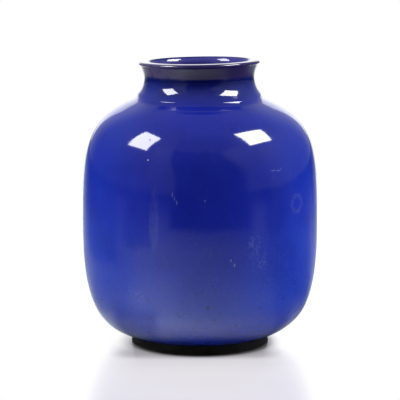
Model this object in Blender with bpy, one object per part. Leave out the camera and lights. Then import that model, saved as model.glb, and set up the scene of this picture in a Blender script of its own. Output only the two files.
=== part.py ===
# Round glazed vase with a short flared neck, turned about the Z axis.
# The origin is the centre of the foot's standing face, on the table. Metres, +Z up.
# A pot is clay pieces luted together with slip, coated with glaze outside and inside.
# Each clay piece and each coat is a closed solid here, a hair apart from the next.

from math import cos, pi, radians, sin

import bmesh
import bpy
from mathutils import Vector

# Foot ring
FOOT_RADIUS = 0.0676
FOOT_SPREAD = 0.0011
FOOT_HEIGHT = 0.0098
FOOT_WIDTH = 0.0086
FOOT_EDGE_RADIUS = 0.0012

# Belly and shoulder, with heights above the foot ring
UNDERSIDE_SLOPE = radians(8.2)
BELLY_RADIUS = 0.1164
BELLY_RISE = 0.1084
SHOULDER_RADIUS = 0.0767
SHOULDER_RISE = 0.1176
SHOULDER_SLOPE = radians(28.7)
BASE_DOME = 0.0015

# Neck, with heights above its joint with the shoulder
THROAT_RADIUS = 0.0545
THROAT_RISE = 0.0290
NECK_RISE = 0.0442

# Lip, measured out from the throat and down from the top
LIP_OVERHANG = 0.00425
LIP_WIDTH = 0.00965
LIP_DROP = 0.0026
LIP_EDGE_RADIUS = 0.0013
MOUTH_EDGE_RADIUS = 0.0020
LIP_EDGE_START = radians(-25)
LIP_EDGE_END = radians(72)

# Walls and coats
CLAY_WALL = 0.0045
CLAY_AT_BASE = 0.0063
OUTER_GLAZE = 0.0006
INNER_GLAZE = 0.0005
SLIP_GAP = 0.0003
BARE_STRIP = 0.0025
GLAZE_LAP = 0.0060

# How far a curve keeps to the direction of each of its ends, as a share of its own span
UNDERSIDE_HOLD = 0.90
BELLY_HOLD_BELOW = 0.50
BELLY_HOLD_ABOVE = 0.63
SHOULDER_HOLD = 0.88
CREASE_HOLD = 0.80
THROAT_HOLD_BELOW = 0.48
THROAT_HOLD_ABOVE = 0.36
FLARE_HOLD = 0.37

# Flats round the turn, and along each stretch of the section outside and inside
ROUND_STEPS = 48
LOWER_STEPS = 9
UPPER_STEPS = 10
CREASE_STEPS = 5
FLARE_STEPS = 3
LIP_EDGE_STEPS = 3
LIP_TOP_STEPS = 2
MOUTH_EDGE_STEPS = 2
LOWER_STEPS_INSIDE = 6
UPPER_STEPS_INSIDE = 6
CREASE_STEPS_INSIDE = 3
FOOT_EDGE_STEPS = 2

WELD = 0.000001
SHARP = radians(32)

# What follows from the sizes above
FOOT_TOP_RADIUS = FOOT_RADIUS - FOOT_SPREAD
SEAM_HEIGHT = FOOT_HEIGHT + BELLY_RISE + SHOULDER_RISE
THROAT_HEIGHT = SEAM_HEIGHT + THROAT_RISE
TOP_HEIGHT = SEAM_HEIGHT + NECK_RISE
LIP_RADIUS = THROAT_RADIUS + LIP_OVERHANG
MOUTH_RADIUS = LIP_RADIUS - LIP_WIDTH
OUTER_CLAY_DEPTH = OUTER_GLAZE + SLIP_GAP
INNER_CLAY_DEPTH = INNER_GLAZE + SLIP_GAP
SHOULDER_HEADING = Vector((-cos(SHOULDER_SLOPE), sin(SHOULDER_SLOPE)))


def direction(angle):
    return Vector((cos(angle), sin(angle)))


def quarter_left(heading):
    return Vector((-heading.y, heading.x)).normalized()


# The section is drawn in radius and height. It runs up the outside, over the lip and
# down the inside, with the wall on its left. A sample is a point and the unit vector
# that leads from it into the wall.


def curve(start, start_pull, end_pull, end, steps):
    """Samples along a cubic curve, both ends included."""
    samples = []
    for i in range(steps + 1):
        t = i / steps
        u = 1 - t
        point = u**3 * start + 3 * u * u * t * start_pull + 3 * u * t * t * end_pull + t**3 * end
        heading = u * u * (start_pull - start) + 2 * u * t * (end_pull - start_pull)
        heading += t * t * (end - end_pull)
        samples.append((point, quarter_left(heading)))
    return samples


def arc(centre, radius, start, end, steps):
    """Samples along an arc that turns left, between two directions out of its centre."""
    samples = []
    for i in range(steps + 1):
        out = direction(start + (end - start) * i / steps)
        samples.append((centre + radius * out, -out))
    return samples


def at_depth(samples, depth):
    """The samples' points, moved into the wall by a depth."""
    return [point + depth * inward for point, inward in samples]


def on_surface(samples):
    return at_depth(samples, 0)


def bare_strip():
    """The start of the underside, a strip of clay below the glaze's edge."""
    heading = direction(UNDERSIDE_SLOPE)
    return [(Vector((FOOT_TOP_RADIUS, FOOT_HEIGHT)), quarter_left(heading))]


def lower_body(steps):
    """From the glaze's edge out and up to the widest place."""
    heading = direction(UNDERSIDE_SLOPE)
    start = Vector((FOOT_TOP_RADIUS, FOOT_HEIGHT)) + BARE_STRIP * heading
    end = Vector((BELLY_RADIUS, FOOT_HEIGHT + BELLY_RISE))
    start_pull = start + UNDERSIDE_HOLD * (end.x - start.x) * heading
    end_pull = end - Vector((0, BELLY_HOLD_BELOW * (end.y - start.y)))
    return curve(start, start_pull, end_pull, end, steps)


def upper_body(steps):
    """From the widest place up and in to the joint with the neck."""
    start = Vector((BELLY_RADIUS, FOOT_HEIGHT + BELLY_RISE))
    end = Vector((SHOULDER_RADIUS, SEAM_HEIGHT))
    slant = (start.x - end.x) / cos(SHOULDER_SLOPE)
    start_pull = start + Vector((0, BELLY_HOLD_ABOVE * (end.y - start.y)))
    end_pull = end - SHOULDER_HOLD * slant * SHOULDER_HEADING
    return curve(start, start_pull, end_pull, end, steps)


def crease(steps):
    """The hollow curve from the joint up to the narrowest place of the neck."""
    start = Vector((SHOULDER_RADIUS, SEAM_HEIGHT)) + SLIP_GAP * SHOULDER_HEADING
    end = Vector((THROAT_RADIUS, THROAT_HEIGHT))
    slant = (start.x - end.x) / cos(SHOULDER_SLOPE)
    start_pull = start + CREASE_HOLD * slant * SHOULDER_HEADING
    end_pull = end - Vector((0, THROAT_HOLD_BELOW * (end.y - start.y)))
    return curve(start, start_pull, end_pull, end, steps)


def flare(edge_sample):
    """From the narrowest place up and out to the round edge of the lip."""
    start = Vector((THROAT_RADIUS, THROAT_HEIGHT))
    end, inward = edge_sample
    rise = end.y - start.y
    heading = Vector((inward.y, -inward.x))
    start_pull = start + Vector((0, THROAT_HOLD_ABOVE * rise))
    return curve(start, start_pull, end - FLARE_HOLD * rise * heading, end, FLARE_STEPS)


def lip_edge():
    """The round outer edge of the lip."""
    height = TOP_HEIGHT - LIP_DROP - LIP_EDGE_RADIUS * sin(LIP_EDGE_END)
    centre = Vector((LIP_RADIUS - LIP_EDGE_RADIUS, height))
    return arc(centre, LIP_EDGE_RADIUS, LIP_EDGE_START, LIP_EDGE_END, LIP_EDGE_STEPS)


def mouth_edge():
    """The round inner edge of the lip, whose start is the pot's highest line."""
    centre = Vector((MOUTH_RADIUS + MOUTH_EDGE_RADIUS, TOP_HEIGHT - MOUTH_EDGE_RADIUS))
    return arc(centre, MOUTH_EDGE_RADIUS, pi / 2, pi, MOUTH_EDGE_STEPS)


def lip_top(edge_sample, mouth_sample):
    """The gently rounded top of the lip, between its two edges."""
    start, inward = edge_sample
    end, _ = mouth_sample
    pull = (start.x - end.x) / 3
    heading = Vector((inward.y, -inward.x))
    return curve(start, start + pull * heading, end + Vector((pull, 0)), end, LIP_TOP_STEPS)


def neck_outside():
    """From the joint over the lip and down into the mouth, where the outer coat ends."""
    edge = lip_edge()
    mouth = mouth_edge()
    samples = crease(CREASE_STEPS) + flare(edge[0])[1:] + edge[1:]
    samples += lip_top(edge[-1], mouth[0])[1:] + mouth[1:]
    lap_end = Vector((MOUTH_RADIUS, TOP_HEIGHT - GLAZE_LAP))
    return samples + [(lap_end, Vector((1, 0)))]


def inside_of(samples, first_clay, last_clay):
    """The inner surface opposite some samples, from the last one back to the first."""
    inside = []
    last = len(samples) - 1
    for i in range(last, -1, -1):
        point, inward = samples[i]
        clay = first_clay + (last_clay - first_clay) * i / last
        wall = OUTER_CLAY_DEPTH + clay + INNER_CLAY_DEPTH
        inside.append((point + wall * inward, -inward))
    return inside


def neck_inside():
    """From the end of the outer coat down to the joint."""
    start = Vector((MOUTH_RADIUS, TOP_HEIGHT - GLAZE_LAP - SLIP_GAP))
    return [(start, Vector((1, 0)))] + inside_of(crease(CREASE_STEPS_INSIDE), CLAY_WALL, CLAY_WALL)


def body_inside():
    """From the joint down the belly and in to the middle of the floor."""
    shoulder = inside_of(upper_body(UPPER_STEPS_INSIDE), CLAY_WALL, CLAY_WALL)
    underside = bare_strip() + lower_body(LOWER_STEPS_INSIDE)
    belly = inside_of(underside, CLAY_AT_BASE, CLAY_WALL)[1:]
    floor_edge, _ = belly[-1]
    return shoulder + belly + [(Vector((0, floor_edge.y)), Vector((0, -1)))]


def foot_ring_section():
    """The ring that the pot stands on, a little wider at the table than at its top."""
    outer_low = Vector((FOOT_RADIUS - FOOT_EDGE_RADIUS, FOOT_EDGE_RADIUS))
    inner_low = Vector((FOOT_RADIUS - FOOT_WIDTH + FOOT_EDGE_RADIUS, FOOT_EDGE_RADIUS))
    top = FOOT_HEIGHT - SLIP_GAP
    section = on_surface(arc(outer_low, FOOT_EDGE_RADIUS, -pi / 2, 0, FOOT_EDGE_STEPS))
    section += [Vector((FOOT_TOP_RADIUS, top)), Vector((FOOT_TOP_RADIUS - FOOT_WIDTH, top))]
    return section + on_surface(arc(inner_low, FOOT_EDGE_RADIUS, pi, 1.5 * pi, FOOT_EDGE_STEPS))


def body_shell_section():
    """Floor, belly and shoulder, thrown in one piece up to the joint with the neck."""
    outside = bare_strip() + lower_body(LOWER_STEPS) + upper_body(UPPER_STEPS)[1:]
    outer = at_depth(outside, OUTER_CLAY_DEPTH)
    base = [
        Vector((0, FOOT_HEIGHT + BASE_DOME)),
        Vector((FOOT_TOP_RADIUS - FOOT_WIDTH, FOOT_HEIGHT)),
        Vector((outer[0].x, FOOT_HEIGHT)),
    ]
    return base + outer + at_depth(body_inside(), INNER_CLAY_DEPTH)


def neck_collar_section():
    """The collar with its flared lip, luted onto the shoulder."""
    outer = at_depth(neck_outside(), OUTER_CLAY_DEPTH)
    return outer + at_depth(neck_inside(), INNER_CLAY_DEPTH)


def outer_glaze_section():
    """The outer coat, from its edge above the foot over the lip and just into the mouth."""
    samples = lower_body(LOWER_STEPS) + upper_body(UPPER_STEPS)[1:] + neck_outside()
    return on_surface(samples) + at_depth(samples, OUTER_GLAZE)[::-1]


def inner_glaze_section():
    """The lining, from the end of the outer coat down over the floor."""
    samples = neck_inside() + body_inside()
    return at_depth(samples, INNER_GLAZE)[::-1] + on_surface(samples)


def turned(name, section, material, meets_axis=False):
    """Turns a section about the Z axis. One that meets the axis has both its ends on it."""
    bm = bmesh.new()
    verts = [bm.verts.new((point.x, 0, point.y)) for point in section]
    edges = [bm.edges.new(pair) for pair in zip(verts, verts[1:])]
    if not meets_axis:
        edges.append(bm.edges.new((verts[-1], verts[0])))
    bmesh.ops.spin(
        bm,
        geom=verts + edges,
        cent=(0, 0, 0),
        axis=(0, 0, 1),
        angle=2 * pi,
        steps=ROUND_STEPS,
        use_merge=True,
    )
    bmesh.ops.remove_doubles(bm, verts=bm.verts, dist=WELD)
    bmesh.ops.recalc_face_normals(bm, faces=bm.faces)

    mesh = bpy.data.meshes.new(name)
    bm.to_mesh(mesh)
    bm.free()
    mesh.shade_smooth()
    mesh.set_sharp_from_angle(angle=SHARP)
    mesh.materials.append(material)
    obj = bpy.data.objects.new(name, mesh)
    bpy.context.scene.collection.objects.link(obj)
    return obj


def finish(name, colour, roughness):
    """A plain Principled material."""
    material = bpy.data.materials.new(name)
    material.use_nodes = True
    shader = material.node_tree.nodes["Principled BSDF"]
    shader.inputs["Base Color"].default_value = (*colour, 1)
    shader.inputs["Roughness"].default_value = roughness
    shader.inputs["Metallic"].default_value = 0
    material.diffuse_color = (*colour, 1)
    return material


def clear_scene():
    for obj in list(bpy.data.objects):
        bpy.data.objects.remove(obj)


def build_vase():
    clear_scene()
    dark_clay = finish("dark_clay", (0.030, 0.022, 0.018), 0.80)
    body_clay = finish("body_clay", (0.090, 0.060, 0.045), 0.85)
    cobalt_glaze = finish("cobalt_glaze", (0.012, 0.024, 0.290), 0.08)
    lining_glaze = finish("lining_glaze", (0.014, 0.020, 0.210), 0.12)

    turned("foot_ring", foot_ring_section(), dark_clay)
    turned("body_shell", body_shell_section(), body_clay, meets_axis=True)
    turned("neck_collar", neck_collar_section(), body_clay)
    turned("outer_glaze", outer_glaze_section(), cobalt_glaze)
    turned("inner_glaze", inner_glaze_section(), lining_glaze, meets_axis=True)


build_vase()
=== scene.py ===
from math import atan2, cos, exp, pi, radians, sin, sqrt

import bpy
from mathutils import Matrix, Vector, noise


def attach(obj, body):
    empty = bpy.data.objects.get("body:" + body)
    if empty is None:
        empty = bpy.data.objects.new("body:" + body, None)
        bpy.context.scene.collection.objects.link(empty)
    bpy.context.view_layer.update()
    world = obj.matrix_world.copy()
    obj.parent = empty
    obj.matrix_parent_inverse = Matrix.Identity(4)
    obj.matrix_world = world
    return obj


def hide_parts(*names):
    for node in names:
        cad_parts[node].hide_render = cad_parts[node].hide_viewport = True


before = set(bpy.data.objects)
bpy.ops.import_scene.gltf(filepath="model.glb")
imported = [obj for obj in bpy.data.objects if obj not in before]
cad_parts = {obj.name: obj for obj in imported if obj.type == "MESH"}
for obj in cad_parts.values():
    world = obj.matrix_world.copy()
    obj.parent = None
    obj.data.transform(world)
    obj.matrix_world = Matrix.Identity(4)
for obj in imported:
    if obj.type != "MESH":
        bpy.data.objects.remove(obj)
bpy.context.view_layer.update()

print("frame loaded")

# The outline of the pot, in metres from the foot's standing face and from the turning axis
form = {
    "footTop": (0.0646, 0.0096),
    "undersideSlope": radians(8.2),
    "bareStrip": 0.0025,
    "lowerPull": (0.9, 0.5),    # how far the curve up to the belly holds its direction at each end
    "belly": (0.1164, 0.1182),
    "upperPull": (0.63, 0.88),
    "seam": (0.0767, 0.2358),
    "shoulderSlope": radians(28.7),
    "bendReach": 0.0016,
    "throat": (0.0538, 0.2635),
    "neckHollow": (0.021, radians(42.5)),    # its radius, and how far it leans out below
    # fine raised lines, on the neck where the collar was joined and on the shoulder beside it:
    # place along, height and half width
    "joinLine": (0.4, 0.00007, 0.00045),
    "shoulderLine": (0.33, 0.00015, 0.0005),
    "flareEnd": (0.0576, 0.2765),
    "flareLean": radians(25),
    "flarePull": (0.27, 0.42),
    "lipRadius": 0.0592,
    "lipDrop": 0.0002,
    "lipEdge": (0.001, 0.0023, radians(-34), radians(88)),
    "mouthRadius": 0.051,
    "mouthEdge": (0.0011, 0.0085, radians(130)),
    "topHeight": 0.28,
    "lapDepth": 0.0078,
    "outerGlaze": 0.0006,
    "liningGlaze": 0.0005,
    "slipGap": 0.0003,
    "clayWall": 0.0045,
    "clayAtBase": 0.0063,
}

# What the potter's hands and the kiln did to the true round
handWork = {
    # the neck sits a little to the left and the lip's right side a little higher:
    # how much, from what height, and over how much of it
    "neckLean": (-0.0007, 0.2, 0.045),
    "rimTilt": (0.0172, 0.24, 0.03),
    # both sides of the neck's foot were pressed in, and the right side above the foot is a little flat:
    # depth, height and reach
    "pinch": (0.003, 0.244, 0.003),
    "lowRight": (0.0021, 0.0175, 0.012),
    "flatFrom": (0.005, 0.05),
    "outOfRound": 0.00012,
    "threeSided": 0.00006,
    # slow and fine dents and swells: how deep and how close
    "wander": (0.00007, 26.0),
    "fineWander": (0.000012, 95.0),
    "trueWithin": 0.02,       # near the standing face and the axis the pot stays true
}


def heading(angle):
    return Vector((cos(angle), sin(angle)))


def inwardOf(direction):
    return Vector((-direction.y, direction.x)).normalized()


def alongOf(inward):
    return Vector((inward.y, -inward.x))


def easeIn(value):
    value = min(max(value, 0.0), 1.0)
    return value * value * (3 - 2 * value)


def curve(start, startPull, endPull, end, steps):
    # points of a cubic, each with the direction that leads into the wall
    samples = []
    for i in range(steps + 1):
        t = i / steps
        u = 1 - t
        point = u**3 * start + 3 * u * u * t * startPull + 3 * u * t * t * endPull + t**3 * end
        run = u * u * (startPull - start) + 2 * u * t * (endPull - startPull) + t * t * (end - endPull)
        samples.append((point, inwardOf(run)))
    return samples


def arc(centre, radius, start, end, steps):
    # of a rounding, or with a radius below zero of a hollow
    outs = [heading(start + (end - start) * i / steps) for i in range(steps + 1)]
    return [(centre + radius * out, -out) for out in outs]


def lowerBody(steps):
    slope = heading(form["undersideSlope"])
    start = Vector(form["footTop"]) + form["bareStrip"] * slope
    end = Vector(form["belly"])
    first, last = form["lowerPull"]
    startPull = start + first * (end.x - start.x) * slope
    return curve(start, startPull, end - Vector((0, last * (end.y - start.y))), end, steps)


def upperBody(steps):
    slope = form["shoulderSlope"]
    start, end = Vector(form["belly"]), Vector(form["seam"])
    slant = (start.x - end.x) / cos(slope)
    first, last = form["upperPull"]
    startPull = start + Vector((0, first * (end.y - start.y)))
    return curve(start, startPull, end - last * slant * heading(pi - slope), end, steps)


def softBend(corner, before, after, reach, steps):
    start, end = corner - reach * before, corner + reach * after
    return curve(start, start.lerp(corner, 0.6), end.lerp(corner, 0.6), end, steps)


def raisedLine(start, end, place, rise, reach, steps=4):
    # the samples over a low, narrow ridge part of the way along a straight stretch
    along = (end - start).normalized()
    inward = inwardOf(along)
    middle = start.lerp(end, place)
    samples = []
    for i in range(-steps, steps + 1):
        lift = rise * (0.5 + 0.5 * cos(pi * i / steps))
        samples.append((middle + i / steps * reach * along - lift * inward, inward))
    return samples


def shoulderTop():
    # the way up along the shoulder, and the point on it where the collar begins
    slope = heading(pi - form["shoulderSlope"])
    return slope, Vector(form["seam"]) + form["slipGap"] * slope


def crease(steps):
    # the shoulder's top, the bend at the neck's foot, and the hollow up to the throat
    radius, lean = form["neckHollow"]
    throat = Vector(form["throat"])
    hollow = arc(throat + Vector((radius, 0)), -radius, lean, 0, steps)
    slope, start = shoulderTop()
    slant = heading(pi / 2 + lean)
    top = hollow[0][0]
    bend = top - slope.cross(top - start) / slope.cross(slant) * slant
    place, _, reach = form["shoulderLine"]
    samples = [(start, inwardOf(slope))] + raisedLine(start, bend, place, 0, reach)
    samples += softBend(bend, slope, slant, form["bendReach"], steps // 3)
    samples += raisedLine(bend, top, *form["joinLine"])
    samples.append((bend.lerp(top, 0.75), inwardOf(slant)))
    return samples + hollow


def lipEdge(steps):
    low, high, first, last = form["lipEdge"]
    height = form["topHeight"] - form["lipDrop"] - high * sin(last)
    under = arc(Vector((form["lipRadius"] - low, height)), low, first, 0, steps // 2)
    return under + arc(Vector((form["lipRadius"] - high, height)), high, 0, last, steps)[1:]


def flare(edgeSample, steps):
    # evenly out from the throat, then a small turn outward under the lip
    start, out = Vector(form["throat"]), Vector(form["flareEnd"])
    lean = heading(pi / 2 - form["flareLean"])
    rise = out.y - start.y
    first, last = form["flarePull"]
    samples = curve(start, start + Vector((0, first * rise)), out - last * rise * lean, out, steps)
    end, inward = edgeSample
    reach = (end - out).length / 2.5
    return samples + curve(out, out + reach * lean, end - reach * alongOf(inward), end, steps // 3)[1:]


def mouthEdge(steps):
    # the lip's inner edge, and the hollow below it that runs down into the mouth
    small, large, turn = form["mouthEdge"]
    centre = Vector((form["mouthRadius"], form["topHeight"] - small))
    wide = centre + (small - large) * heading(turn)
    return arc(centre, small, pi / 2, turn, steps // 2) + arc(wide, large, turn, pi, steps)[1:]


def lipTop(edgeSample, mouthSample, steps):
    start, inward = edgeSample
    end = mouthSample[0]
    pull = (start.x - end.x) / 3
    return curve(start, start + pull * alongOf(inward), end + Vector((pull, 0)), end, steps)


def lapEnd(further):
    return Vector((mouthEdge(4)[-1][0].x, form["topHeight"] - form["lapDepth"] - further))


def neckOutside(creaseSteps, flareSteps, lipSteps):
    edge, mouth = lipEdge(lipSteps), mouthEdge(lipSteps)
    samples = crease(creaseSteps) + flare(edge[0], flareSteps)[1:] + edge[1:]
    samples += lipTop(edge[-1], mouth[0], lipSteps)[1:] + mouth[1:]
    return samples + [(mouth[-1][0].lerp(lapEnd(0), part), Vector((1, 0))) for part in (0.33, 0.67, 1.0)]


def insideOf(samples, firstClay, lastClay):
    # the inner surface opposite some samples, from the last one back to the first
    inside = []
    last = len(samples) - 1
    for i in range(last, -1, -1):
        point, inward = samples[i]
        clay = firstClay + (lastClay - firstClay) * i / last
        wall = form["outerGlaze"] + form["liningGlaze"] + 2 * form["slipGap"] + clay
        inside.append((point + wall * inward, -inward))
    return inside


def neckInside(steps):
    clay = form["clayWall"]
    return [(lapEnd(form["slipGap"]), Vector((1, 0)))] + insideOf(crease(steps), clay, clay)


def footStart():
    return [(Vector(form["footTop"]), inwardOf(heading(form["undersideSlope"])))]


def bodyInside(upperSteps, lowerSteps, floorSteps):
    clay = form["clayWall"]
    samples = insideOf(upperBody(upperSteps), clay, clay)
    samples += insideOf(footStart() + lowerBody(lowerSteps), form["clayAtBase"], clay)[1:]
    edge = samples[-1][0]
    for i in range(1, floorSteps + 1):
        samples.append((Vector((edge.x * (1 - i / floorSteps), edge.y)), Vector((0, -1))))
    return samples


def atDepth(samples, depth):
    return [point + depth * inward for point, inward in samples]


def nearHeight(point, height, reach):
    return exp(-((point.z - height) / reach) ** 2)


def byHand(point):
    # leans the neck, tilts the rim and takes the pot a little off the true round
    turn = atan2(point.y, point.x)
    swell = handWork["outOfRound"] * cos(2 * turn + 8 * point.z)
    swell += handWork["threeSided"] * cos(3 * turn - 1.3)
    for depth, closeness in (handWork["wander"], handWork["fineWander"]):
        swell += depth * noise.noise(point * closeness)
    within = handWork["trueWithin"]
    swell *= easeIn(point.z / within) * easeIn(point.xy.length / within)
    depth, height, reach = handWork["pinch"]
    swell -= depth * nearHeight(point, height, reach) * cos(turn) ** 8
    depth, height, reach = handWork["lowRight"]
    flatHeight, flatRadius = handWork["flatFrom"]
    flatSide = easeIn(point.z / flatHeight) * easeIn(point.xy.length / flatRadius) * max(cos(turn), 0) ** 2
    swell -= depth * nearHeight(point, height, reach) * flatSide
    moved = point + Vector((cos(turn), sin(turn), 0)) * swell
    lean, start, reach = handWork["neckLean"]
    moved.x += lean * easeIn((point.z - start) / reach)
    tilt, start, reach = handWork["rimTilt"]
    moved.z += tilt * point.x * easeIn((point.z - start) / reach)
    return moved


def addObject(name, data):
    made = bpy.data.objects.new(name, data)
    bpy.context.scene.collection.objects.link(made)
    return made


def turnPiece(name, shown, hidden, steps, material, touch=None):
    # turns a section about the pot's axis; touch may change its shown side a little at each turn
    verts, faces, rows = [], [], []
    for i, point in enumerate(shown + hidden):
        count = 1 if point.x < 1e-7 else steps
        rows.append([len(verts) + k for k in range(count)])
        for k in range(count):
            turn = 2 * pi * k / steps
            r, z = touch(point.x, point.y, turn) if touch and i < len(shown) else point
            verts.append(byHand(Vector((r * cos(turn), r * sin(turn), z))))
    for low, high in zip(rows, rows[1:] + rows[:1]):
        if len(low) + len(high) == 2:
            continue
        for k in range(steps):
            after = (k + 1) % steps
            corners = (low[k % len(low)], low[after % len(low)], high[after % len(high)], high[k % len(high)])
            faces.append(list(dict.fromkeys(corners)))
    mesh = bpy.data.meshes.new(name)
    mesh.from_pydata(verts, [], faces)
    mesh.validate()
    mesh.shade_smooth()
    mesh.set_sharp_from_angle(angle=radians(38))
    mesh.materials.append(material)
    print(name, len(mesh.polygons), "faces")
    return addObject(name, mesh)


# Short forms for building node trees
def fill(node, inputs):
    for key, value in inputs.items():
        if isinstance(value, bpy.types.NodeSocket):
            node.id_data.links.new(value, node.inputs[key])
        else:
            node.inputs[key].default_value = value


def addNode(kind, inputs, **settings):
    # made in the tree that its inputs come from
    tree = next(value.id_data for value in inputs.values() if isinstance(value, bpy.types.NodeSocket))
    made = tree.nodes.new("ShaderNode" + kind)
    for key, value in settings.items():
        setattr(made, key, value)
    fill(made, inputs)
    return made


def outOf(kind, *inputs, **settings):
    # the first output of a node whose inputs are given in their order
    return addNode(kind, dict(enumerate(inputs)), **settings).outputs[0]


def calc(operation, first, second=0.0, clamped=False):
    return outOf("Math", first, second, operation=operation, use_clamp=clamped)


def times(first, *others):
    for other in others:
        first = calc("MULTIPLY", first, other)
    return first


def ramp(value, start, end, low=0.0, high=1.0):
    inputs = {"Value": value, "From Min": start, "From Max": end, "To Min": low, "To Max": high}
    return addNode("MapRange", inputs, interpolation_type="SMOOTHSTEP").outputs["Result"]


def where(spot, area):
    # 1 in an area and 0 outside it, with soft edges
    return times(*[ramp(spot[part], *step) for part, *step in area])


def mix(share, base, over):
    return addNode("Mix", {0: share, 2: base, 3: over}).outputs[0]


def inStages(value, levels, steps):
    # from the first level softly to the next at each step
    level = levels[0]
    for step, following in zip(steps, levels[1:]):
        level = mix(ramp(value, *step), level, following)
    return level


def readCurve(value, points):
    # a factor read off a curve through the given points
    low, high = points[0][0], points[-1][0]
    most = max(factor for _, factor in points)
    share = addNode("MapRange", {"Value": value, "From Min": low, "From Max": high}).outputs["Result"]
    made = addNode("FloatCurve", {"Value": share})
    line = made.mapping.curves[0]
    line.points[0].location = (0, points[0][1] / most)
    line.points[1].location = (1, points[-1][1] / most)
    for place, factor in points[1:-1]:
        line.points.new((place - low) / (high - low), factor / most)
    made.mapping.update()
    return times(made.outputs[0], most)


def blend(share, base, over):
    return addNode("Mix", {0: share, 6: base, 7: over}, data_type="RGBA").outputs[2]


def scaled(colour, factor):
    return addNode("VectorMath", {0: colour, 3: factor}, operation="SCALE").outputs[0]


def tinted(colour, tone):
    return outOf("VectorMath", colour, tone, operation="MULTIPLY")


def distanceTo(place, middle=(0, 0, 0)):
    return addNode("VectorMath", {0: place, 1: middle}, operation="DISTANCE").outputs["Value"]


def noiseAt(place, closeness, detail, roughness=0.5):
    inputs = {"Vector": place, "Scale": closeness, "Detail": detail, "Roughness": roughness}
    return addNode("TexNoise", inputs).outputs[0]


def bumpOf(height):
    return addNode("Bump", {"Height": height, "Strength": 1.0, "Distance": 1.0}).outputs[0]


def spotOf(place):
    # its three parts, its distance from the axis, and its heading in degrees round from the front
    x, y, z = addNode("SeparateXYZ", {0: place}).outputs
    away = distanceTo(outOf("CombineXYZ", x, y))
    around = calc("DIVIDE", calc("ARCTAN2", x, times(y, -1.0)), radians(1))
    return {"x": x, "y": y, "z": z, "away": away, "around": around}


def newGroup(name, inputs, outputs):
    # besides a place it takes these: a plain number is a value, and any other a vector
    tree = bpy.data.node_groups.new(name, "ShaderNodeTree")
    for label, value in {"Place": (0, 0, 0), **inputs}.items():
        kind = "NodeSocketFloat" if isinstance(value, float) else "NodeSocketVector"
        tree.interface.new_socket(label, in_out="INPUT", socket_type=kind).default_value = value
    for label in outputs:
        tree.interface.new_socket(label, in_out="OUTPUT", socket_type="NodeSocketFloat")
    return tree, tree.nodes.new("NodeGroupInput").outputs, tree.nodes.new("NodeGroupOutput")


def useGroup(group, place, settings):
    return addNode("Group", {"Place": place, **settings}, node_tree=group).outputs


def buildCloudGroup():
    # slow and fast unevenness of a coat, 0.5 on average, stretched down the wall where it ran
    tree, given, out = newGroup("unevenCoat", {"Size": 0.03, "Run": 1.0}, ("Cloud", "Streak"))
    spread = calc("DIVIDE", 1.0, given["Size"])
    along = tinted(given["Place"], outOf("CombineXYZ", 1.0, 1.0, given["Run"]))
    cloud = noiseAt(given["Place"], spread, detail=4.0, roughness=0.55)
    streak = noiseAt(along, spread, detail=3.0, roughness=0.6)
    fill(out, {"Cloud": cloud, "Streak": streak})
    return tree


def buildSpotGroup():
    # one soft-edged mark at a place on the pot, with a ragged outline
    inputs = {"Centre": (0, 0, 0), "Stretch": (1, 1, 1), "Radius": 0.001, "Ragged": 0.3}
    tree, given, out = newGroup("spotMark", inputs, ("Mask",))
    away = outOf("VectorMath", given["Place"], given["Centre"], operation="SUBTRACT")
    away = outOf("VectorMath", away, given["Stretch"], operation="DIVIDE")
    rough = noiseAt(given["Place"], 1400.0, detail=2.0)
    push = times(calc("SUBTRACT", rough, 0.5), given["Ragged"])
    share = calc("ADD", calc("DIVIDE", distanceTo(away), given["Radius"]), push)
    fill(out, {"Mask": ramp(share, 1.15, 0.7)})
    return tree


def buildSpeckGroup():
    # scattered specks: one to a cell, most cells left empty
    tree, given, out = newGroup("specks", {"Spacing": 0.01, "Size": 0.05, "Share": 0.3}, ("Mask",))
    spread = calc("DIVIDE", 1.0, given["Spacing"])
    cells = addNode("TexVoronoi", {"Vector": given["Place"], "Scale": spread}).outputs
    chance = addNode("SeparateColor", {0: cells["Color"]}).outputs
    kept = calc("LESS_THAN", chance[0], given["Share"])
    reach = times(given["Size"], calc("ADD", chance[1], 0.4))
    inside = calc("SUBTRACT", 1.0, calc("DIVIDE", cells["Distance"], reach), clamped=True)
    fill(out, {"Mask": times(kept, ramp(inside, 0.0, 0.6))})
    return tree


def buildTurnedGroup():
    # the marks that fingers and tools leave as the clay turns, rings round the axis
    tree, given, out = newGroup("turnedMarks", {"Pitch": 0.004, "Waver": 0.4, "Flat": 0.0}, ("Height",))
    spot = spotOf(given["Place"])
    across = mix(given["Flat"], spot["z"], spot["away"])
    sway = times(noiseAt(given["Place"], 30.0, detail=1.0), given["Waver"])
    count = calc("ADD", calc("DIVIDE", across, given["Pitch"]), sway)
    inputs = {"W": count, "Scale": 1.0, "Detail": 3.0, "Roughness": 0.6}
    fill(out, {"Height": addNode("TexNoise", inputs, noise_dimensions="1D").outputs[0]})
    return tree


def buildSkinGroup():
    # the faint dimpling of a fired glaze, a height in metres
    tree, given, out = newGroup("glazeSkin", {"Dimple": 0.006, "Depth": 0.000004}, ("Height",))
    spread = calc("DIVIDE", 1.0, given["Dimple"])
    coarse = noiseAt(given["Place"], spread, detail=2.0, roughness=0.4)
    fill(out, {"Height": times(coarse, given["Depth"])})
    return tree


unevenCoat = buildCloudGroup()
spotMark = buildSpotGroup()
specks = buildSpeckGroup()
turnedMarks = buildTurnedGroup()
glazeSkin = buildSkinGroup()


def whiteShader(tree, kind):
    made = tree.nodes.new("ShaderNode" + kind)
    fill(made, {0: (1, 1, 1, 1), 1: 1.0})
    return made.outputs[0]


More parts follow.
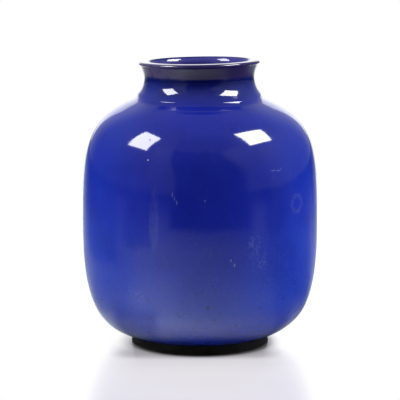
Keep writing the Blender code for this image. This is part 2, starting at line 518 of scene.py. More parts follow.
def newMaterial(name, preview):
    material = bpy.data.materials.new(name)
    material.use_nodes = True
    material.diffuse_color = (*preview[:3], 1)
    tree = material.node_tree
    place = tree.nodes.new("ShaderNodeTexCoord").outputs["Object"]
    return material, tree.nodes["Principled BSDF"], place


# Of four numbers, two say from where to where something changes, and two from what to what.
# An area is told by such steps in the parts of a place: "away" is how far it lies from the axis,
# and "around" its heading in degrees round from the front to the right.
glaze = {
    "blue": (0.0122, 0.033, 0.415, 1),
    "deepBlue": (0.01, 0.028, 0.372, 1),
    "thinBlue": (0.03, 0.052, 0.385, 1),
    "clouds": {"Size": 0.034, "Run": 0.35},
    "fineClouds": {"Size": 0.007, "Run": 0.3},
    "deepFrom": (0.4, 0.68),
    "thinFrom": (0.56, 0.74, 0.0, 0.3),
    # how light the coat's blue is at each height: darkest in the throat and just above the foot
    "toneByHeight": (
        (0.022, 0.55), (0.03, 0.72), (0.042, 0.88), (0.06, 1.03), (0.09, 1.1), (0.16, 1.02),
        (0.215, 0.87), (0.232, 0.84), (0.244, 0.73), (0.252, 0.55), (0.258, 0.43), (0.266, 0.25),
        (0.274, 0.35),
    ),
    # darker and less green down the front, which is painted shade where little light comes from the front,
    # and turned greener where it gathered below the belly
    "toned": (
        ((0.88, 0.66, 0.885), (("around", -62, -16), ("around", 62, 16), ("z", 0.05, 0.11))),
        ((1.0, 1.22, 1.0), (("z", 0.028, 0.055), ("z", 0.15, 0.105))),
    ),
    # fine pale dust in the coat and its mottle, and the dark pits of the lower half
    # this pale colour also paints the reflections of the streak and the ring
    "paleDustAndReflection": (0.1, 0.125, 0.36, 1),
    "dust": {"Spacing": 0.003, "Size": 0.26, "Share": 0.45},
    "dustPatches": (0.42, 0.62),
    "dustLowDown": (0.165, 0.06, 0.04, 0.18),
    "dustOnShoulder": (0.185, 0.215, 0.0, 0.08),
    "mottle": {"Size": 0.0024, "Run": 1.0},
    "mottleFrom": (0.5, 0.74),
    "mottleLowDown": (0.17, 0.06, 0.04, 0.15),
    "pitBlue": (0.005, 0.009, 0.07, 1),
    "pits": {"Spacing": 0.0056, "Size": 0.24, "Share": 0.6},
    "pitsLowDown": (0.13, 0.055, 0.0, 0.66),
    # the thin coat under the lip, with a painted reflection of the brighter table at its left, and the inside
    # of the mouth
    "thinUnderLip": (0.027, 0.015, 0.094, 1),
    "paintedReflectionUnderLip": (0.094, 0.076, 0.172, 1),
    # where the painted reflection lies under the lip
    "pale": (("x", -0.005, -0.045), ("cloud", 0.2, 0.6)),
    "underLip": (("z", 0.264, 0.2672), ("away", 0.051, 0.053)),
    "underLipShare": 0.85,
    "mouthBlue": (0.058, 0.054, 0.3, 1),
    "inMouth": (("z", 0.262, 0.27), ("away", 0.05, 0.0488)),
    "ironBrown": (0.006, 0.007, 0.018, 1),
    "iron": {"Spacing": 0.013, "Size": 0.06, "Share": 0.3},
    "ironShare": 0.75,
    "scuffed": (0.3, 0.36, 0.52, 1),
    "broken": (420.0, 4.0, 0.6),
    "skin": {"Dimple": 0.0065, "Depth": 0.000006},
    "markDepth": 0.00012,
    "gloss": (0.35, 0.75, 0.065, 0.095),
    "scuffRoughness": 0.45,
    "index": 1.8,
}

# Single marks on the coat: where each lies, its radius, how ragged it is, how strong, and its stretch if any
coatMarks = {
    "pinholes": (
        ((-0.0466, -0.0918, 0.2126), 0.001, 0.2, 0.95),
        ((0.0075, -0.1112, 0.0569), 0.0019, 0.5, 0.66, (1, 1, 1.2)),
        ((0.0339, -0.099, 0.0369), 0.0018, 0.5, 0.66),
        ((0.0141, -0.107, 0.0445), 0.0014, 0.5, 0.55),
        ((-0.0066, -0.1035, 0.0351), 0.0014, 0.5, 0.5),
        ((-0.0472, -0.0968, 0.0441), 0.0014, 0.5, 0.52),
        ((-0.0603, -0.0951, 0.063), 0.0013, 0.5, 0.5),
        ((-0.0496, -0.0826, 0.0243), 0.0014, 0.5, 0.55),
    ),
    "scratches": (
        ((-0.0483, -0.0992, 0.1948), 0.0008, 0.2, 0.9),
        ((-0.0256, -0.1123, 0.164), 0.001, 0.4, 0.36, (0.5, 0.5, 2.4)),
        ((-0.0236, -0.113, 0.1604), 0.001, 0.4, 0.26, (0.5, 0.5, 2.4)),
        ((-0.0215, -0.1136, 0.1568), 0.001, 0.4, 0.34, (0.5, 0.5, 2.4)),
        ((0.0046, -0.1155, 0.1588), 0.001, 0.4, 0.25),
        ((0.0683, -0.0895, 0.1836), 0.001, 0.4, 0.3, (3.0, 3.0, 0.5)),
        ((0.0735, -0.0858, 0.1831), 0.001, 0.4, 0.34, (2.4, 2.4, 0.5)),
        ((0.076, -0.0836, 0.1846), 0.0009, 0.5, 0.3, (0.6, 0.6, 1.5)),
        ((0.0288, -0.1126, 0.1022), 0.0011, 0.6, 0.4, (0.6, 0.6, 1.5)),
        ((0.0322, -0.1115, 0.0975), 0.0011, 0.7, 0.45, (0.6, 0.6, 1.8)),
    ),
    # soft pale patches, two where it was scuffed and one at the left
    "patches": (
        ((0.0505, -0.1048, 0.115), 0.0066, 2.5, 0.17, (1, 1, 1.7)),
        ((0.0581, -0.1005, 0.0986), 0.0056, 2.5, 0.13, (1, 1, 1.3)),
        ((-0.06, -0.096, 0.063), 0.011, 2.5, 0.08),
    ),
    "patchBreaks": (0.44, 0.66),
    # a streak that ran down at the left, and the ring that a wet glass left, between two radii
    # a pale streak down the left, which is a painted reflection at the edge of the dark front of the room,
    # and a pale ring between two radii, which is a painted reflection of a shallow dimple
    "streak": ((-0.0427, -0.1078, 0.14), 0.0058, 0.9, 0.26, (0.9, 0.9, 5.2)),
    "reflectionStreakBreaks": (0.36, 0.62),
    "ring": ((0.0921, -0.0705, 0.1498), (0.01, 0.0062), 1.2, 0.42),
    "ringBreaks": (0.34, 0.6),
}


def coatBlue(spot, coat, fine):
    # the coat's own blue, by how thick it lies, then scaled by height, with painted shade down the front and
    # greener below the belly
    share = ramp(coat["Cloud"], *glaze["deepFrom"])
    colour = blend(share, glaze["blue"], glaze["deepBlue"])
    thin = ramp(fine["Streak"], *glaze["thinFrom"])
    colour = blend(thin, colour, glaze["thinBlue"])
    colour = scaled(colour, readCurve(spot["z"], glaze["toneByHeight"]))
    # the darker front among these is painted shade
    for tone, area in glaze["toned"]:
        colour = blend(where(spot, area), colour, tinted(colour, tone))
    return colour


def dustOver(colour, place, height, coat):
    dust = useGroup(specks, place, glaze["dust"])["Mask"]
    share = ramp(height, *glaze["dustLowDown"])
    share = calc("ADD", share, ramp(height, *glaze["dustOnShoulder"]))
    dust = times(dust, ramp(coat["Streak"], *glaze["dustPatches"]), share)
    colour = blend(dust, colour, glaze["paleDustAndReflection"])
    mottle = useGroup(unevenCoat, place, glaze["mottle"])["Cloud"]
    mottle = ramp(mottle, *glaze["mottleFrom"])
    mottle = times(mottle, ramp(height, *glaze["mottleLowDown"]))
    colour = blend(mottle, colour, glaze["paleDustAndReflection"])
    pits = useGroup(specks, place, glaze["pits"])["Mask"]
    pits = times(pits, ramp(height, *glaze["pitsLowDown"]))
    return blend(pits, colour, glaze["pitBlue"])


def lipOver(colour, spot):
    # at the left the band under the lip gets a painted reflection of the table
    pale = where(spot, glaze["pale"])
    thin = blend(pale, glaze["thinUnderLip"], glaze["paintedReflectionUnderLip"])
    share = times(where(spot, glaze["underLip"]), glaze["underLipShare"])
    colour = blend(share, colour, thin)
    return blend(where(spot, glaze["inMouth"]), colour, glaze["mouthBlue"])


def markMask(place, centre, radius, ragged, share, stretch=(1, 1, 1)):
    settings = {"Centre": centre, "Stretch": stretch, "Radius": radius, "Ragged": ragged}
    return times(useGroup(spotMark, place, settings)["Mask"], share)


def marksTogether(place, marks):
    together = 0.0
    for mark in marks:
        together = calc("MAXIMUM", together, markMask(place, *mark))
    return together


def marksOver(colour, place, fine):
    # besides the colour, how much is hollowed and how much is scuffed
    holes = marksTogether(place, coatMarks["pinholes"])
    scratches = marksTogether(place, coatMarks["scratches"])
    iron = useGroup(specks, place, glaze["iron"])["Mask"]
    dark = calc("MAXIMUM", times(iron, glaze["ironShare"]), holes)
    colour = blend(dark, colour, glaze["ironBrown"])
    broken = noiseAt(place, *glaze["broken"])
    # the ring is a painted reflection of a shallow dimple
    centre, radii, ragged, share = coatMarks["ring"]
    outer, inner = (markMask(place, centre, radius, ragged, share) for radius in radii)
    ring = calc("SUBTRACT", outer, inner, clamped=True)
    ring = times(ring, ramp(broken, *coatMarks["ringBreaks"]))
    # the streak is a painted reflection at the edge of the dark front of the room
    streak = markMask(place, *coatMarks["streak"])
    streak = times(streak, ramp(fine["Streak"], *coatMarks["reflectionStreakBreaks"]))
    colour = blend(calc("MAXIMUM", streak, ring), colour, glaze["paleDustAndReflection"])
    patches = marksTogether(place, coatMarks["patches"])
    patches = times(patches, ramp(broken, *coatMarks["patchBreaks"]))
    scuffs = calc("MAXIMUM", scratches, patches)
    colour = blend(scuffs, colour, glaze["scuffed"])
    return colour, calc("MAXIMUM", holes, scratches), scuffs


def makeCobaltGlaze():
    material, shader, place = newMaterial("cobaltGlaze", glaze["blue"])
    coat = useGroup(unevenCoat, place, glaze["clouds"])
    fine = useGroup(unevenCoat, place, glaze["fineClouds"])
    spot = {**spotOf(place), "cloud": fine["Cloud"]}
    colour = coatBlue(spot, coat, fine)
    colour = dustOver(colour, place, spot["z"], coat)
    colour = lipOver(colour, spot)
    colour, hollow, scuffs = marksOver(colour, place, fine)
    skin = useGroup(glazeSkin, place, glaze["skin"])["Height"]
    skin = calc("SUBTRACT", skin, times(hollow, glaze["markDepth"]))
    rough = ramp(fine["Cloud"], *glaze["gloss"])
    rough = calc("ADD", rough, times(scuffs, glaze["scuffRoughness"]), clamped=True)
    fill(shader, {"Base Color": colour, "Roughness": rough, "IOR": glaze["index"], "Normal": bumpOf(skin)})
    return material


lining = {
    "blue": (0.013, 0.023, 0.3, 1),
    "deepBlue": (0.008, 0.014, 0.2, 1),
    "clouds": {"Size": 0.028, "Run": 0.4},
    "iron": {"Spacing": 0.011, "Size": 0.06, "Share": 0.35},
    "skin": {"Dimple": 0.005, "Depth": 0.00001},
    "roughness": 0.09,
    "index": 1.8,
}


def makeLiningGlaze():
    material, shader, place = newMaterial("liningGlaze", lining["blue"])
    cloud = useGroup(unevenCoat, place, lining["clouds"])["Cloud"]
    share = ramp(cloud, *glaze["deepFrom"])
    colour = blend(share, lining["blue"], lining["deepBlue"])
    iron = useGroup(specks, place, lining["iron"])["Mask"]
    colour = blend(times(iron, glaze["ironShare"]), colour, glaze["ironBrown"])
    skin = useGroup(glazeSkin, place, lining["skin"])["Height"]
    fill(shader, {"Base Color": colour, "Roughness": lining["roughness"], "IOR": lining["index"]})
    fill(shader, {"Normal": bumpOf(skin)})
    return material


# The foot's clay is rubbed pale at its standing edge, and the body's turns grey in clouds:
# what the change goes by is so much of the height and so much of the clouds
footClay = {
    # the first colour is the dark clay, set darker still as painted shade of the shadow round the foot
    "colours": ((0.0062, 0.0054, 0.0056, 1), (0.04, 0.032, 0.027, 1)),
    "changesBy": (1.0, 0.004),
    "changesFrom": (0.0016, 0.0002, 0.0, 0.85),
    "clouds": {"Size": 0.009, "Run": 1.0},
    "gritColour": (0.05, 0.04, 0.034, 1),
    "grit": {"Spacing": 0.0022, "Size": 0.16, "Share": 0.3},
    "gritShare": 0.45,
    "rings": {"Pitch": 0.0011, "Waver": 0.5, "Flat": 0.35},
    "grain": (900.0, 4.0, 0.65),
    "depths": (0.0001, 0.00012, 0.00008),    # of the rings, the grain and the grit
    "roughness": (0.3, 0.7, 0.72, 0.88),
}

bodyClay = {
    "colours": ((0.085, 0.056, 0.041, 1), (0.052, 0.038, 0.032, 1)),
    "changesBy": (0.0, 1.0),
    "changesFrom": (-0.12, 0.16),
    "clouds": {"Size": 0.016, "Run": 1.0},
    "gritColour": (0.19, 0.14, 0.105, 1),
    "grit": {"Spacing": 0.0026, "Size": 0.15, "Share": 0.28},
    "gritShare": 0.5,
    "rings": {"Pitch": 0.0016, "Waver": 0.5, "Flat": 1.0},
    "grain": (800.0, 4.0, 0.65),
    "depths": (0.00014, 0.00012),
    "roughness": 0.82,
}


def makeClay(name, clay):
    material, shader, place = newMaterial(name, clay["colours"][0])
    cloud = useGroup(unevenCoat, place, clay["clouds"])["Cloud"]
    byHeight, byCloud = clay["changesBy"]
    measure = calc("ADD", times(spotOf(place)["z"], byHeight), times(calc("SUBTRACT", cloud, 0.5), byCloud))
    colour = blend(ramp(measure, *clay["changesFrom"]), *clay["colours"])
    grit = useGroup(specks, place, clay["grit"])["Mask"]
    colour = blend(times(grit, clay["gritShare"]), colour, clay["gritColour"])
    rings = useGroup(turnedMarks, place, clay["rings"])["Height"]
    height = 0.0
    for part, depth in zip((rings, noiseAt(place, *clay["grain"]), grit), clay["depths"]):
        height = calc("ADD", times(part, depth), height)
    rough = clay["roughness"]
    if isinstance(rough, tuple):
        rough = ramp(cloud, *rough)
    fill(shader, {"Base Color": colour, "Roughness": rough, "Normal": bumpOf(height)})
    return material


glazeBody = makeCobaltGlaze()
glazeLining = makeLiningGlaze()
clayFoot = makeClay("footClay", footClay)
clayBody = makeClay("bodyClay", bodyClay)
print("materials made")

outerCoat = {
    "turnSteps": 224,
    "bodySteps": 56,
    "neckSteps": (22, 14, 8),    # in the crease, the flare and the lip
    "edgeRows": (0.0, 0.08, 0.2, 0.4, 0.7),
    "edgeRound": 0.0011,      # how far in the coat's lower edge rounds over
    "beadPlace": 0.0021,      # and the bead of glaze that gathered above it
    "beadWidth": 0.0014,
    "beadDepth": 0.0004,
    # how the wiped line wanders: how much, how far in, and two closenesses with their layers
    "edgeSway": 0.0008,
    "swayReach": 0.012,
    "slowSway": (2.2, 7.3),
    "quickSway": (9, 1.7),
    # the raised line on the shoulder: how far off it counts, and how far round the front it runs
    "lineBand": 0.0003,
    "lineWidth": 0.62,
}


def hiddenSide(samples, depth, every=4):
    # the side of a coat that nobody sees, in fewer rows
    kept = samples[:-1:every] + [samples[-1]]
    return atDepth(kept, depth)[::-1]


def roundNoise(turn, closeness, layer):
    return noise.noise(Vector((closeness * cos(turn), closeness * sin(turn), layer)))


def beadedEdge(samples):
    start = samples[0][0]
    near = [(start.lerp(samples[1][0], part), samples[0][1]) for part in outerCoat["edgeRows"]]
    points = []
    for point, inward in near + samples[1:]:
        along = (point - start).length
        rest = 1 - min(along / outerCoat["edgeRound"], 1)
        bead = exp(-((along - outerCoat["beadPlace"]) / outerCoat["beadWidth"]) ** 2) * (1 - rest)
        depth = 0.9 * form["outerGlaze"] * (1 - sqrt(1 - rest * rest)) - outerCoat["beadDepth"] * bead
        points.append(point + depth * inward)
    return points


def wipedEdge(radius, height, turn):
    # the line where the glaze was wiped off above the foot is never quite even
    near = 1 - easeIn((radius - form["footTop"][0]) / outerCoat["swayReach"])
    sway = roundNoise(turn, *outerCoat["slowSway"]) + 0.4 * roundNoise(turn, *outerCoat["quickSway"])
    move = outerCoat["edgeSway"] * sway * near
    return radius + move * cos(form["undersideSlope"]), height + move * sin(form["undersideSlope"])


def shoulderTouch(radius, height, turn):
    # the raised line on the shoulder runs round the front and is lost at the sides
    slope, start = shoulderTop()
    _, rise, reach = form["shoulderLine"]
    away = Vector((radius, height)) - lineMiddle
    along, off = away.dot(slope), away.cross(slope)
    if abs(along) > reach or abs(off) > outerCoat["lineBand"] or radius > start.x:
        return radius, height
    faded = exp(-(cos(turn) / outerCoat["lineWidth"]) ** 4)
    lift = rise * (0.5 + 0.5 * cos(pi * along / reach)) * faded
    out = -inwardOf(slope)
    return radius + lift * out.x, height + lift * out.y


def coatByHand(radius, height, turn):
    touch = shoulderTouch if height > form["belly"][1] else wipedEdge
    return touch(radius, height, turn)


coat = lowerBody(outerCoat["bodySteps"]) + upperBody(outerCoat["bodySteps"])[1:]
coat += neckOutside(*outerCoat["neckSteps"])
lineMiddle = crease(4)[5][0]
hidden = hiddenSide(coat, form["outerGlaze"])
glazeCoat = turnPiece(
    "cobaltGlazeCoat", beadedEdge(coat), hidden, outerCoat["turnSteps"], glazeBody, coatByHand
)

liningCoat = {
    "turnSteps": 176,
    "creaseSteps": 16,
    "bodySteps": (66, 60, 36),    # above the belly, below it and over the floor
    "ringPitch": 0.0085,
    "ringDepth": 0.00035,
}

inside = neckInside(liningCoat["creaseSteps"]) + bodyInside(*liningCoat["bodySteps"])
potFloor = inside[-1][0].y


def fingerRings(radius, height, turn):
    # one long spiral that the thrower's fingers left, up the wall and in over the floor
    wall = easeIn((height - potFloor - 0.002) / 0.02)
    strength = easeIn((0.262 - height) / 0.03) * min(radius / 0.006, 1)
    count = ((height - potFloor) * wall - radius * (1 - wall)) / liningCoat["ringPitch"] + turn / (2 * pi)
    ridge = (0.5 + 0.5 * cos(2 * pi * count)) ** 1.5 * liningCoat["ringDepth"] * strength
    return radius - ridge * wall, height + ridge * (1 - wall)


hidden = hiddenSide(inside, form["liningGlaze"])
glazeLiningCoat = turnPiece(
    "liningGlazeCoat", atDepth(inside, 0), hidden, liningCoat["turnSteps"], glazeLining, fingerRings
)

clayWalls = {
    "turnSteps": 128,
    "outsideSteps": 30,
    "insideSteps": (24, 24, 4),
    "collarOutside": (12, 8, 3),
    "collarInside": 8,
    "baseSteps": 62,
    "baseDome": 0.0015,
    # the turning tool's spiral on the base: how far out, how close and how deep
    "toolReach": 0.056,
    "toolPitch": 0.0026,
    "toolDepth": 0.00012,
}


def toolRings(radius, height, turn):
    # only on the base, inside the foot
    reach = clayWalls["toolReach"]
    if height > form["footTop"][1] + clayWalls["baseDome"] + 0.0001 or radius > reach:
        return radius, height
    strength = easeIn((reach - radius) / 0.004) * min(radius / 0.003, 1)
    ridge = 0.5 + 0.5 * cos(2 * pi * radius / clayWalls["toolPitch"] + turn)
    return radius, height + clayWalls["toolDepth"] * ridge * strength


outerDepth = form["outerGlaze"] + form["slipGap"]
innerDepth = form["liningGlaze"] + form["slipGap"]
footRing = {
    "turnSteps": 192,
    "radius": 0.0682,
    "width": 0.0098,
    "topWidth": 0.0068,
    "edge": 0.0012,
    "edgeSteps": 6,
    "sideSteps": 8,
    # nicks in the standing edge: depth, height and width, and two sizes with what they leave whole
    "nick": 0.00022,
    "nickHeight": 0.003,
    "nickWidth": 0.002,
    "largeNicks": (14, 0.15),
    "smallNicks": (45, 0.2),
}

footTopRadius, footHeight = form["footTop"]
recess = footTopRadius - footRing["topWidth"]
clayBase = []
for i in range(clayWalls["baseSteps"] + 1):
    part = i / clayWalls["baseSteps"]
    clayBase.append(Vector((recess * part, footHeight + clayWalls["baseDome"] * (1 - part * part))))
bodyOutside = footStart() + lowerBody(clayWalls["outsideSteps"]) + upperBody(clayWalls["outsideSteps"])[1:]
bodyWall = atDepth(bodyOutside, outerDepth)
clayBase.append(Vector((bodyWall[0].x, footHeight)))
bodyWithin = atDepth(bodyInside(*clayWalls["insideSteps"]), innerDepth)
clayBodyPiece = turnPiece(
    "thrownBody", clayBase + bodyWall, bodyWithin, clayWalls["turnSteps"], clayBody, toolRings
)
collarWall = atDepth(neckOutside(*clayWalls["collarOutside"]), outerDepth)
collarWithin = atDepth(neckInside(clayWalls["collarInside"]), innerDepth)
clayCollarPiece = turnPiece("thrownCollar", collarWall, collarWithin, clayWalls["turnSteps"], clayBody)


def footSection():
    radius, width, edge = footRing["radius"], footRing["width"], footRing["edge"]
    steps, sideSteps = footRing["edgeSteps"], footRing["sideSteps"]
    top = footHeight - form["slipGap"]
    outside = atDepth(arc(Vector((radius - edge, edge)), edge, -pi / 2, 0, steps), 0)
    innerLow = atDepth(arc(Vector((radius - width + edge, edge)), edge, pi, 1.5 * pi, steps), 0)
    outerTop, innerTop = Vector((footTopRadius, top)), Vector((recess, top))
    for i in range(1, sideSteps + 1):
        outside.append(outside[-1].lerp(outerTop, i / sideSteps))
    inside = [innerTop.lerp(innerLow[0], i / sideSteps) for i in range(sideSteps)]
    return outside + inside + innerLow


def wornEdge(radius, height, turn):
    # the standing edge is rubbed and nicked where the foot meets tables
    low = 1 - easeIn(height / footRing["nickHeight"])
    closeness, whole = footRing["largeNicks"]
    bite = max(roundNoise(turn, closeness, 90 * radius) - whole, 0)
    closeness, whole = footRing["smallNicks"]
    bite += 0.5 * max(roundNoise(turn, closeness, 3.1) - whole, 0)
    half, nickWidth = footRing["width"] / 2, footRing["nickWidth"]
    offMiddle = radius - footRing["radius"] + half
    depth = bite * footRing["nick"] * low * easeIn((abs(offMiddle) - half + nickWidth) / nickWidth)
    side = 1 if offMiddle > 0 else -1
    return radius - 2 * side * depth, height + depth


clayFootPiece = turnPiece("footRing", footSection(), [], footRing["turnSteps"], clayFoot, wornEdge)

for piece, node, slot in (
    (glazeCoat, "outer_glaze", "cobalt_glaze"),
    (glazeLiningCoat, "inner_glaze", "lining_glaze"),
    (clayBodyPiece, "body_shell", "body_clay"),
    (clayCollarPiece, "neck_collar", "body_clay"),
    (clayFootPiece, "foot_ring", "dark_clay"),
):
    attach(piece, "root")
    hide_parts(node)
print("pot made")

# The white backdrop's middle lies opposite this heading, in degrees
oppositeBackdrop = 1.5

# The table is a pale sheet. Close round the pot it is bright, and it falls off towards its edges,
# as the glaze shows it; what the camera sees of it runs out to the white of the backdrop.
table = {
    "halfSize": 14.0,
    "paper": (0.07, 0.062, 0.03, 1),
    "paperGrain": (0.06, 0.054, 0.028, 1),
    "grain": (60.0, 5.0, 0.7),
    "grainFrom": (0.3, 0.7, 0.0, 0.05),
    "sheen": 0.24,
    "index": 1.45,
    "glow": (1.0, 0.979, 1.066, 1),
    "cameraLift": 0.705,
    "litTone": (0.95, 0.94, 0.96),
    "mirroredTone": (1.27, 1.37, 1.31),
    # the dim patch that the pot's lower part leaves on the table: its middle, half its size,
    # how square it is, and its tone outward
    "patch": (-0.005, 0.0805, 0.0765),
    "patchSquareness": 8.0,
    "patchTone": (
        (0.8, 0.5), (0.85, 0.55), (0.9, 0.61), (1.0, 0.79), (1.09, 0.93), (1.3, 0.965), (1.6, 1.0),
        (2.2, 1.0),
    ),
    # and the dark line close round the foot, where hardly any light gets in
    "shadeMiddle": (0.001, -0.004, 0.0),
    "shadeSquash": (0.955, 1.0, 1.0),
    "underFoot": (
        (0.055, 0.1), (0.065, 0.2), (0.0668, 0.34), (0.0688, 0.6), (0.0705, 0.79), (0.073, 0.88),
        (0.076, 0.97), (0.082, 1.0),
    ),
    # where the camera sees it run out to white: at the sides, behind and in front
    "white": (
        (("x", 0.078, 0.13),), (("x", -0.078, -0.13),), (("y", -0.055, 0.02), ("away", 0.073, 0.088)),
        (("y", -0.235, -0.4),),
    ),
    # how much light lies on it by distance from the pot's axis
    "byDistance": (
        (0.0, 1.08), (0.118, 1.08), (0.143, 0.82), (0.22, 0.53), (0.35, 0.37), (0.5, 0.3), (0.62, 0.29),
        (0.8, 0.215), (0.95, 0.15), (1.2, 0.1), (1.7, 0.06),
    ),
    # the dark pool under the belly lies a little to the front
    "poolMiddle": (0.002, -0.014, 0.0),
    "poolSquash": (1.12, 1.0, 1.0),
    "pool": (
        (0.0, 0.0), (0.06, 0.02), (0.07, 0.2), (0.08, 0.57), (0.09, 0.92), (0.1, 1.0), (0.15, 1.0),
    ),
    # where less light is left and how much: the table's near edge, far and near at the left of the front,
    # and behind at the left
    "dimmed": (
        (0.0, (("around", -31, -24), ("around", 54, 42), ("away", 0.925, 0.965))),
        (0.45, (("around", -84, -66), ("around", -36, -50), ("away", 0.58, 0.74))),
        (0.55, (("around", -85, -65), ("around", -26, -37), ("away", 0.21, 0.13))),
        (0.4, (("around", -140, -124), ("x", -0.34, -0.52), ("y", -0.22, -0.02))),
    ),
    # the lamps light it unevenly: the share at each heading, as the glaze mirrors it
    "byHeading": (
        (-180, 0.9), (-140, 0.9), (-118, 0.7), (-98, 0.56), (-72, 0.57), (-42, 0.9), (-27, 0.8),
        (0, 0.59), (35, 0.45), (55, 0.34), (72, 0.135), (87, 0.085), (102, 0.12), (122, 0.35), (142, 0.85),
        (180, 0.9),
    ),
    # brighter near at the right, in a band right of the front, and towards the backdrop,
    # where a strip that widens by so much for each metre leads to it
    "nearRight": (("around", 62, 95), ("around", 150, 115), ("away", 0.23, 0.14)),
    "nearRightShare": 0.36,
    "rightBand": (("around", 43, 54), ("around", 67, 55), ("away", 0.68, 0.92, 0.0, 0.045)),
    "stripWidening": 0.327,
    "towardsBackdrop": (
        (0.42, (("aside", 136, 158), ("away", 0.2, 0.5))),
        (1.1, (("offStrip", 0.115, 0.075), ("y", 0.04, 0.15))),
    ),
}


def fromFront(around):
    return calc("ABSOLUTE", calc("SUBTRACT", around, oppositeBackdrop))


def tableLight(place, spot):
    light = readCurve(spot["away"], table["byDistance"])
    for share, area in table["dimmed"]:
        light = times(light, mix(where(spot, area), 1.0, share))
    fromPool = distanceTo(tinted(place, table["poolSquash"]), table["poolMiddle"])
    return times(light, readCurve(fromPool, table["pool"]))


def mirroredLight(spot, light):
    share = readCurve(spot["around"], table["byHeading"])
    share = mix(where(spot, table["nearRight"]), share, table["nearRightShare"])
    light = times(light, share)
    offStrip = calc("SUBTRACT", calc("ABSOLUTE", spot["x"]), times(spot["y"], table["stripWidening"]))
    spot = {**spot, "aside": fromFront(spot["around"]), "offStrip": offStrip}
    for level, area in table["towardsBackdrop"]:
        light = mix(where(spot, area), light, level)
    return calc("ADD", light, where(spot, table["rightBand"]))


def leftBesidePot(place, spot):
    # the share of light that the pot leaves the table round its foot
    middle, halfWidth, halfDepth = table["patch"]
    power = table["patchSquareness"]
    wide = calc("DIVIDE", calc("SUBTRACT", spot["x"], middle), halfWidth)
    deep = calc("DIVIDE", spot["y"], halfDepth)
    powers = [calc("POWER", calc("ABSOLUTE", part), power) for part in (wide, deep)]
    outward = calc("POWER", calc("ADD", *powers), 1 / power)
    fromFoot = distanceTo(tinted(place, table["shadeSquash"]), table["shadeMiddle"])
    patch = readCurve(outward, table["patchTone"])
    return times(patch, readCurve(fromFoot, table["underFoot"]))


def makeTable():
    # one look for the camera, one for the mirror of the glaze, and one for the light it throws on the pot
    material, shader, place = newMaterial("paleTable", (0.8, 0.8, 0.8))
    spot = spotOf(place)
    left = leftBesidePot(place, spot)
    grain = noiseAt(place, *table["grain"])
    paper = blend(ramp(grain, *table["grainFrom"]), table["paper"], table["paperGrain"])
    paper = scaled(paper, left)
    fill(shader, {"Base Color": paper, "Roughness": table["sheen"], "IOR": table["index"]})
    lift = outOf("Emission", table["glow"], times(left, table["cameraLift"]))
    seen = outOf("AddShader", shader.outputs[0], lift)
    runOut = 0.0
    for area in table["white"]:
        runOut = calc("MAXIMUM", runOut, where(spot, area))
    seen = outOf("MixShader", runOut, seen, whiteShader(material.node_tree, "Emission"))
    light = tableLight(place, spot)
    bounce = outOf("BsdfDiffuse", scaled(table["litTone"], light))
    mirrored = scaled(table["mirroredTone"], mirroredLight(spot, light))
    mirrored = outOf("BsdfDiffuse", mirrored)
    path = material.node_tree.nodes.new("ShaderNodeLightPath").outputs
    other = outOf("MixShader", path["Is Glossy Ray"], bounce, mirrored)
    final = outOf("MixShader", path["Is Camera Ray"], other, seen)
    fill(material.node_tree.nodes["Material Output"], {"Surface": final})
    return material


def layTable():
    reach = table["halfSize"]
    corners = [(-reach, -reach, 0), (reach, -reach, 0), (reach, reach, 0), (-reach, reach, 0)]
    mesh = bpy.data.meshes.new("paleTable")
    mesh.from_pydata(corners, [], [(0, 1, 2, 3)])
    mesh.materials.append(makeTable())
    addObject("paleTable", mesh)


layTable()

# What the pot mirrors from beyond the table: dark in front, dim at the sides, white behind.
# Areas are told in degrees round from the front, aside from the front, and up from the table.
room = {
    "tint": (0.97, 0.98, 1.0),
    "wall": (0, 42, 0.052, 0.21),
    # a pale stand at the left of the dark opening in front
    "stand": (("around", -57, -47), ("up", 50, 25, 0.0, 0.06)),
    # the opening's levels upward, and its two edges, of which the right one leans in and out
    "opening": (0.01, 0.034, 0.125),
    "openingSteps": ((12, 26), (33, 39)),
    "edges": (("leftEdge", -34, -28), ("rightEdge", 8, -6)),
    "leftEdgeShift": (22, 8, 0.0, -6.0),
    "rightEdgePlaces": (46.0, 24.0, 42.0),
    "rightEdgeSteps": ((4, 34), (34, 44)),
    # the ceiling, beside the backdrop, and the backdrop itself
    "beyond": (
        (0.17, (("up", 56, 70),)),
        (0.5, (("aside", 132, 166), ("up", 50, 28), ("up", -6, 16, 0.5, 1.0))),
        (1.5, (("aside", 160.6, 163.2), ("up", 23, 19.5))),
    ),
}


def roomLevel(around, up):
    spot = {"around": around, "up": up, "aside": fromFront(around)}
    spot["leftEdge"] = calc("ADD", around, ramp(up, *room["leftEdgeShift"]))
    rightEdge = inStages(up, room["rightEdgePlaces"], room["rightEdgeSteps"])
    spot["rightEdge"] = calc("SUBTRACT", around, rightEdge)
    level = calc("ADD", ramp(up, *room["wall"]), where(spot, room["stand"]))
    level = mix(where(spot, room["edges"]), level, inStages(up, room["opening"], room["openingSteps"]))
    for brightness, area in room["beyond"]:
        level = mix(where(spot, area), level, brightness)
    return level


def makeRoom():
    world = bpy.data.worlds.new("studioRoom")
    bpy.context.scene.world = world
    world.use_nodes = True
    tree = world.node_tree
    tree.nodes.clear()
    spot = spotOf(tree.nodes.new("ShaderNodeTexCoord").outputs["Generated"])
    up = calc("DIVIDE", calc("ARCSINE", spot["z"]), radians(1))
    mirrored = outOf("Background", scaled(room["tint"], roomLevel(spot["around"], up)), 1.0)
    path = tree.nodes.new("ShaderNodeLightPath").outputs
    final = outOf("MixShader", path["Is Camera Ray"], mirrored, whiteShader(tree, "Background"))
    addNode("OutputWorld", {"Surface": final})


makeRoom()

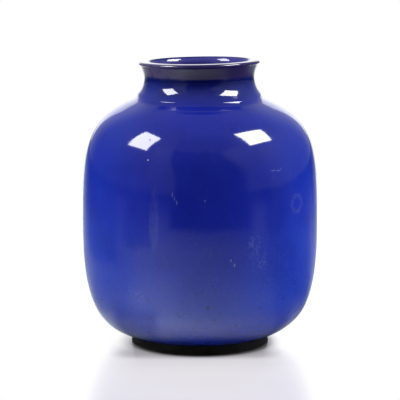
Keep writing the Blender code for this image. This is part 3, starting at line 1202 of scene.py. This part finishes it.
# Two softboxes above, which the glaze mirrors, and soft panels at the sides, which only light the pot
softboxes = {
    "leftSoftbox": {
        "place": (-1.041, -0.34, 1.168),
        "across": (0.108, -0.986, 0.125),
        "upward": (0.48, 0.161, 0.862),
        "size": (0.596, 0.643),
        "mirrored": 9.4,
        "spill": 4.0,
    },
    "rightSoftbox": {
        "place": (0.987, -0.139, 1.254),
        "across": (-0.715, 0.421, 0.558),
        "upward": (-0.604, -0.774, -0.191),
        "size": (0.551, 0.784),
        "mirrored": 12.0,
        "spill": 4.0,
    },
}

panels = {
    "leftPanel": {"around": -74, "above": 21, "size": (1.95, 1.78), "spill": 3.1},
    "rightPanel": {"around": 87, "above": 21, "size": (1.26, 1.78), "spill": 6.2},
    "upperPanel": {"around": -105, "above": 61, "size": (1.6, 1.26), "spill": 2.1},
}
panelDistance = 2.0
potMiddle = Vector((0, 0, 0.13))


def hangLamp(name, size, brightness, placed, mirrored):
    lamp = bpy.data.lights.new(name, "AREA")
    lamp.shape = "RECTANGLE"
    lamp.size, lamp.size_y = size
    lamp.energy = brightness * pi * lamp.size * lamp.size_y
    holder = addObject(name, lamp)
    holder.matrix_world = placed
    holder.visible_camera = False
    holder.visible_glossy = mirrored
    holder.visible_diffuse = not mirrored


for name, box in softboxes.items():
    across, upward = Vector(box["across"]).normalized(), Vector(box["upward"]).normalized()
    turned = Matrix((across, upward, across.cross(upward))).transposed().to_4x4()
    placed = Matrix.Translation(box["place"]) @ turned
    hangLamp(name, box["size"], box["mirrored"], placed, True)
    hangLamp(name + "Spill", box["size"], box["spill"], placed, False)
for name, panel in panels.items():
    around, above = radians(panel["around"]), radians(panel["above"])
    toPanel = Vector((cos(above) * sin(around), -cos(above) * cos(around), sin(above)))
    turned = toPanel.to_track_quat("Z", "Y").to_matrix().to_4x4()
    placed = Matrix.Translation(potMiddle + panelDistance * toPanel) @ turned
    hangLamp(name, panel["size"], panel["spill"], placed, False)
print("table, room and lamps set")

viewpoint = {
    "place": (0.0, -1.7047, 0.4085),
    "tilt": radians(90 - 8.896),
    "lens": 156.88,
}

camera = addObject("camera", bpy.data.cameras.new("camera"))
camera.location = viewpoint["place"]
camera.rotation_euler = (viewpoint["tilt"], 0, 0)
camera.data.lens = viewpoint["lens"]
camera.data.sensor_width = 36
bpy.context.scene.camera = camera
bpy.context.scene.view_settings.view_transform = "Standard"
